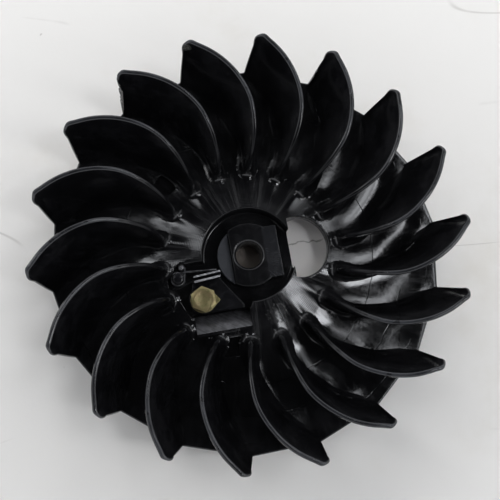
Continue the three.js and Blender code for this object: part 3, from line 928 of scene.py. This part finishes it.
def boss_sheen_and_rub(n, axes, streaks):
    """Painted sheen on the boss, where its paint is also made rougher: a lighter strip of its top on the window's
    side, and a lighter ledge on the other.
    """
    strip = n.times(n.ramp(axes["X"], 7.6, 8.4), n.ramp(axes["Z"], HUB_TOP_Z - 0.4, HUB_TOP_Z - 0.1), 0.22)
    ledge = n.times(n.fade(axes["X"], -9.0, -8.4), n.fade(axes["Z"], LEDGE_Z + 0.1, LEDGE_Z + 0.4))
    return n.times(n.math("MAXIMUM", strip, ledge), n.ramp(streaks, 0.2, 0.6, 0.6, 1.0))


def witness_lines(n, place, axes, radius):
    """Thin broken arcs low on the wheel, where the mould's inserts met."""
    wavering = n.math("ADD", radius, n.times(n.noise(place, 0.12), 3.0))
    lines = 0.0
    for seam in WITNESS_RADII:
        off = n.math("ABSOLUTE", n.math("SUBTRACT", wavering, seam))
        lines = n.math("MAXIMUM", lines, n.fade(off, 0.0, 0.25))
    return n.times(lines, n.fade(axes["Z"], 12.5, 14.5), n.ramp(n.noise(place, 0.05), 0.45, 0.52))


def painted_cone_streaks(n, radius, angle, streaks, on_cone):
    """Painted reflection: pale streaks that fan outwards over the cone, in place of the streaky highlights on it.
    """
    spokes = n.noise(n.add("CombineXYZ", {"X": n.times(angle, 7.0)}).outputs[0], 1.0, 3.0, 0.7)
    cone_streak_sheen = n.ramp(n.math("ADD", spokes, n.times(streaks, 0.3)), 0.62, 0.82)
    return n.times(on_cone, cone_streak_sheen, n.ramp(radius, GROOVE_RADIUS + 0.3, GROOVE_RADIUS + 1.0))


def crest_wear_and_sheen(n, place, edge):
    """Worn paint on the blades' crests, lightened as a painted sheen, in patches and with a few nearly whole
    stretches.
    """
    whole = n.ramp(n.noise(place, 0.16), 0.62, 0.66, 1.0, 0.25)
    patches = n.ramp(n.noise(place, 0.06, 4.0, 0.6), 0.35, 0.65, 0.25, 1.0)
    return n.times(n.math("MAXIMUM", edge, 0.0), whole, patches)


def enamel_paint(name, smooth, rough, peel, cast_marks):
    """Gloss black stove enamel, with runs, orange peel and brushed dust.

    cast_marks adds the marks of the disc and the blades: worn crests, lightened as a painted sheen, witness lines,
    a turned cone with pale streaks of painted reflection, a patch of coarse casting skin and a rubbed tip. Without
    it the paint has the boss's painted sheen, on a strip of its top and on its ledge, where it is also rougher.
    """
    material, n, shader = new_material(name)
    place = n.place()
    axes = n.axes(place)
    radius = n.vector("LENGTH", n.vector("MULTIPLY", place, (1, 1, 0)))
    angle = n.math("ARCTAN2", axes["Y"], axes["X"])
    swept = {"X": n.times(angle, 40.0), "Y": n.times(radius, 0.09), "Z": n.times(axes["Z"], 0.2)}
    streaks = n.noise(n.add("CombineXYZ", swept).outputs[0], 1.0, 4.0, 0.6)
    blotches = n.noise(place, 0.07, 4.0, 0.6)
    dust = n.ramp(n.math("ADD", blotches, n.times(streaks, 0.5)), 0.62, 0.95)
    shade = n.mix(dust, (0.0035, 0.0035, 0.004, 1), (0.009, 0.009, 0.010, 1))
    swirls = n.math("ADD", blotches, n.times(n.math("SUBTRACT", streaks, 0.5), 0.6))
    gloss = n.ramp(swirls, 0.3, 0.75, smooth, rough)
    skin = n.bump(n.noise(place, 3.2, 2.0, 0.6), 0.004 * MM)
    if cast_marks:
        scuff = n.times(n.near(place, SCUFF, 1.0, 3.0), n.ramp(n.noise(place, 1.6), 0.35, 0.6))
        shade = n.mix(scuff, shade, (0.10, 0.10, 0.09, 1))
        lines = witness_lines(n, place, axes, radius)
        skin = n.bump(n.times(lines, -1.0), 0.02 * MM, 1.0, skin)
        on_cone = n.fade(radius, *CONE_EDGE)
        # Painted reflection: pale streaks lighten the cone's paint.
        cone_streak_sheen = painted_cone_streaks(n, radius, angle, streaks, on_cone)
        shade = n.mix(cone_streak_sheen, shade, (0.026, 0.026, 0.027, 1))
        turning = n.math("SINE", n.times(radius, 2 * math.pi / TURNING_PITCH))
        skin = n.bump(n.times(turning, on_cone), 0.006 * MM, 1.0, skin)
        pimples = n.ramp(n.noise(place, 0.95, 1.0, 0.5), 0.52, 0.64)
        skin = n.bump(n.times(n.near(place, COARSE_PATCH, 3.0, 5.5), pimples), 0.35 * MM, 1.0, skin)
        brushed = n.ramp(radius, *CONE_EDGE, 0.8, 0.3)
        edge = n.attribute("edge")
        # Painted sheen: the worn crests are lightened to a bluish grey along the blades' edges.
        wear_and_sheen = crest_wear_and_sheen(n, place, edge)
        shade = n.mix(wear_and_sheen, shade, (0.032, 0.033, 0.037, 1))
        dull = n.times(wear_and_sheen, 0.12)
        shine = n.times(n.ramp(edge, -0.7, -0.05, 0.12, 0.5), n.math("SUBTRACT", 1.0, lines))
        n.feed(shader.inputs["Specular IOR Level"], shine)
    else:
        # Painted sheen: the boss's top strip and ledge are lightened to a bluish grey, and made rougher.
        rubbed = boss_sheen_and_rub(n, axes, streaks)
        shade = n.mix(rubbed, shade, (0.035, 0.037, 0.043, 1))
        dull = n.times(rubbed, 0.2)
        brushed = 0.3
    n.feed(shader.inputs["Base Color"], shade)
    n.feed(shader.inputs["Roughness"], n.math("ADD", gloss, dull))
    orange_peel = n.noise(place, 0.55, 2.0, 0.5)
    waves = n.math("ADD", orange_peel, n.times(streaks, brushed))
    n.feed(shader.inputs["Normal"], n.bump(waves, peel * MM, 1.0, skin))
    return material


def worn_steel(name, dark, bright, metallic, smooth, rough):
    """Oiled dark steel, rubbed brighter in patches and scratched."""
    material, n, shader = new_material(name)
    place = n.place()
    patches = n.noise(place, 0.25, 5.0, 0.65)
    scratches = n.noise(n.vector("MULTIPLY", place, (0.4, 3.0, 0.4)), 1.5, 4.0, 0.6)
    rubbed = n.ramp(n.math("ADD", patches, n.times(scratches, 0.4)), 0.6, 0.95)
    n.feed(shader.inputs["Base Color"], n.mix(rubbed, (*dark, 1), (*bright, 1)))
    n.feed(shader.inputs["Roughness"], n.ramp(scratches, 0.3, 0.7, smooth, rough))
    n.feed(shader.inputs["Metallic"], metallic)
    n.feed(shader.inputs["Normal"], n.bump(n.math("ADD", scratches, patches), 0.012 * MM))
    return material


def machined_face(name, colour, metallic):
    """Cut metal face: satin grey with fine slanting cutter marks and a few stains."""
    material, n, shader = new_material(name)
    place = n.place()
    slant = {"Vector": place, "Angle": math.radians(38)}
    slanting = n.add("VectorRotate", slant, rotation_type="Z_AXIS").outputs[0]
    marks = n.noise(n.vector("MULTIPLY", slanting, (0.08, 1.1, 0.3)), 1.0, 4.0, 0.65)
    stains = n.noise(place, 0.3, 4.0, 0.6)
    light = n.math("ADD", n.times(marks, 0.6), n.times(stains, 0.4))
    dark = tuple(c * 0.35 for c in colour)
    n.feed(shader.inputs["Base Color"], n.mix(n.ramp(light, 0.40, 0.60), (*dark, 1), (*colour, 1)))
    n.feed(shader.inputs["Roughness"], n.ramp(marks, 0.3, 0.7, 0.38, 0.55))
    n.feed(shader.inputs["Metallic"], metallic)
    n.feed(shader.inputs["Normal"], n.bump(marks, 0.03 * MM))
    return material


def yellow_plating(name):
    """Yellow passivated zinc: pale gold with greenish and rosy clouds and a fine dull grain."""
    material, n, shader = new_material(name)
    place = n.place()
    clouds = n.noise(place, 0.3, 4.0, 0.6)
    grain = n.noise(place, 5.0, 3.0, 0.6)
    gold = n.mix(n.ramp(clouds, 0.35, 0.65), (0.245, 0.220, 0.100, 1), (0.265, 0.208, 0.108, 1))
    n.feed(shader.inputs["Base Color"], n.mix(n.ramp(grain, 0.55, 0.8), gold, (0.12, 0.11, 0.065, 1)))
    n.feed(shader.inputs["Roughness"], n.ramp(n.math("ADD", clouds, grain), 0.7, 1.3, 0.26, 0.44))
    n.feed(shader.inputs["Metallic"], 0.7)
    n.feed(shader.inputs["Normal"], n.bump(n.math("ADD", grain, clouds), 0.02 * MM))
    return material


def floor_crack(n, place):
    """Dark wavering line across the part of the work surface that shows through the window."""
    axes = n.axes(place)
    off = n.math("ABSOLUTE", n.math("SUBTRACT", axes["Y"], n.times(n.noise(place, 0.12), 8.0)))
    return n.times(n.fade(off, 0.0, 0.5), n.fade(axes["X"], 36.0, 42.0), n.ramp(axes["X"], 15.0, 20.0))


def bench_top(name):
    """Off-white work surface: faint smudges, specks and hairline scratches, with painted shade under the bore and
    painted light under the window.
    """
    material, n, shader = new_material(name)
    place = n.place()
    smudges = n.noise(place, 0.012, 5.0, 0.65)
    meander = n.noise(n.vector("MULTIPLY", place, (0.25, 1, 1)), 0.012, 1.0, 0.4)
    hairline = n.fade(n.math("ABSOLUTE", n.math("SUBTRACT", meander, 0.5)), 0.0, 0.0035)
    scratches = n.times(hairline, n.ramp(n.noise(place, 0.015), 0.5, 0.6))
    specks = n.ramp(n.noise(place, 0.15, 2.0, 0.4), 0.78, 0.82)
    marks = n.math("MAXIMUM", n.times(scratches, 0.35), n.times(specks, 0.5))
    marks = n.math("MAXIMUM", marks, n.times(floor_crack(n, place), 0.8))
    # Painted shade: the work surface inside the bore is darkened to a brown.
    painted_bore_shade = n.fade(n.vector("LENGTH", place), 6.0, 8.0)
    # Painted light: the work surface under the window is lightened, against the wheel's shadow there.
    painted_window_light = n.times(n.near(place, (WINDOW["x"], 0, 0), 14.0, 24.0), n.math("SUBTRACT", 1.0, painted_bore_shade))
    colour = n.mix(n.ramp(smudges, 0.5, 0.8), (0.835, 0.815, 0.785, 1), (0.77, 0.74, 0.69, 1))
    colour = n.mix(painted_bore_shade, colour, (0.22, 0.185, 0.16, 1))
    colour = n.mix(painted_window_light, colour, (0.97, 0.93, 0.90, 1))
    n.feed(shader.inputs["Base Color"], n.mix(marks, colour, (0.30, 0.27, 0.24, 1)))
    n.feed(shader.inputs["Roughness"], n.ramp(smudges, 0.3, 0.7, 0.45, 0.65))
    n.feed(shader.inputs["Normal"], n.bump(n.noise(place, 0.6, 3.0), 0.03 * MM))
    return material


# ---------------------------------------------------------------- camera, floor and light

CAMERA_PLACE = (-41.2, -58.7, 401.5)
CAMERA_TURN = (9.82, -4.55, -10.0)
CAMERA_LENS = 59.33
CAMERA_SENSOR = 36
FLOOR_HALF = 1500


def add_camera():
    data = bpy.data.cameras.new("camera")
    data.lens = CAMERA_LENS
    data.sensor_width = CAMERA_SENSOR
    camera = bpy.data.objects.new("camera", data)
    camera.location = [v * MM for v in CAMERA_PLACE]
    camera.rotation_euler = [math.radians(a) for a in CAMERA_TURN]
    bpy.context.collection.objects.link(camera)
    bpy.context.scene.camera = camera


def add_panel(name, towards, distance, size, power, mirrored=True):
    """Rectangular lamp in a direction from the wheel, facing it. mirrored says whether gloss paint mirrors it.

    distance and size are in metres.
    """
    data = bpy.data.lights.new(name, "AREA")
    data.shape = "RECTANGLE"
    data.size = size[0]
    data.size_y = size[1]
    data.energy = power
    lamp = bpy.data.objects.new(name, data)
    place = Vector(towards).normalized() * distance
    lamp.location = place
    lamp.rotation_euler = (-place).to_track_quat("-Z", "Y").to_euler()
    lamp.visible_glossy = mirrored
    bpy.context.collection.objects.link(lamp)


def add_floor():
    corners = [(sx * FLOOR_HALF, sy * FLOOR_HALF, 0) for sx, sy in ((-1, -1), (1, -1), (1, 1), (-1, 1))]
    floor = new_object("floor", corners, [(0, 1, 2, 3)])
    floor.data.materials.append(bench_top("bench_top"))


# Bright parts of the room: direction, how near its middle the glow starts and is full (cosines), radiance.
GLOWS = [
    ((0.50, 0.17, 0.849), 0.9930, 0.9988, 3.0),
    ((0.43, 0.23, 0.873), 0.9940, 0.9988, 4.0),
    ((0.44, -0.21, 0.873), 0.9940, 0.9988, 15.0),
    ((-0.34, 0.33, 0.88), 0.9950, 0.9990, 6.0),
]
# A long lamp overhead: the x of its line, the middle and half length along y, radiance.
TUBE = {"x": 0.366, "y": 0.10, "half": 0.19, "radiance": 6.5}


def add_world():
    """Dark ceiling over a bright room, with soft bright patches high up."""
    world = bpy.data.worlds.new("world")
    world.use_nodes = True
    n = Nodes(world.node_tree)
    way = n.vector("NORMALIZE", n.add("TexCoord", {}).outputs["Generated"])
    axes = n.axes(way)
    room = n.ramp(axes["Z"], 0.5, 0.8, 1.24, 0.018)
    aside = n.math("ABSOLUTE", n.math("SUBTRACT", axes["X"], TUBE["x"]))
    along = n.math("ABSOLUTE", n.math("SUBTRACT", axes["Y"], TUBE["y"]))
    across_tube = n.ramp(aside, 0.006, 0.032, TUBE["radiance"], 0.0)
    along_tube = n.fade(along, TUBE["half"] - 0.03, TUBE["half"] + 0.03)
    light = n.math("ADD", room, n.times(across_tube, along_tube, n.ramp(axes["Z"], 0.5, 0.6)))
    for towards, begin, full, radiance in GLOWS:
        spot = n.vector("DOT_PRODUCT", way, tuple(Vector(towards).normalized()))
        light = n.math("ADD", light, n.ramp(spot, begin, full, 0.0, radiance))
    background = world.node_tree.nodes["Background"]
    background.inputs["Color"].default_value = (0.93, 0.955, 1.0, 1)
    n.feed(background.inputs["Strength"], light)
    bpy.context.scene.world = world
    bpy.context.scene.view_settings.view_transform = "Standard"


add_camera()
add_floor()
add_world()
add_panel("strip_right", (0.75, -0.35, 0.62), 1.5, (0.2, 0.9), 2)
add_panel("strip_left", (-0.65, 0.55, 0.6), 1.5, (0.2, 0.9), 1.5)
add_panel("window_light", (0.15, 0.9, 0.5), 0.8, (0.7, 0.4), 3.2, mirrored=False)

enamel = enamel_paint("black_enamel", 0.06, 0.18, 0.020, cast_marks=True)
hub_paint = enamel_paint("hub_enamel", 0.13, 0.25, 0.012, cast_marks=False)
steel = worn_steel("dark_steel", (0.004, 0.004, 0.005), (0.010, 0.010, 0.012), 0.1, 0.14, 0.26)
zinc = yellow_plating("yellow_zinc")
ramp_face = machined_face("ramp_face", (0.085, 0.085, 0.092), 0.2)
bore_face = machined_face("bore_face", (0.16, 0.155, 0.15), 0.6)
rubbed = machined_face("rubbed_edge", (0.45, 0.45, 0.47), 0.5)
wire = worn_steel("spring_steel", (0.08, 0.08, 0.085), (0.24, 0.24, 0.25), 0.9, 0.25, 0.45)

make_disc(enamel, ramp_face)
for blade_number in range(1, BLADES + 1):
    make_blade(blade_number, enamel)
finished(
    turned("boss", hub_profile, 480), hub_paint, "wheel", ["hub_boss"], 35, bore_face, in_bore,
)
make_pawl(steel, rubbed)
finished(turned("washer", washer_profile, 180, PIVOT), zinc, "wheel", ["tab_washer"])
finished(turned("bolt", bolt_profile, 180, PIVOT), zinc, "wheel", ["pivot_bolt"], 25)
finished(turned("post", post_profile, 48, POST), steel, "wheel", ["spring_post"])
finished(turned("peg", peg_profile, 32, PEG), wire, "wheel", ["spring_peg"])
make_spring(wire)
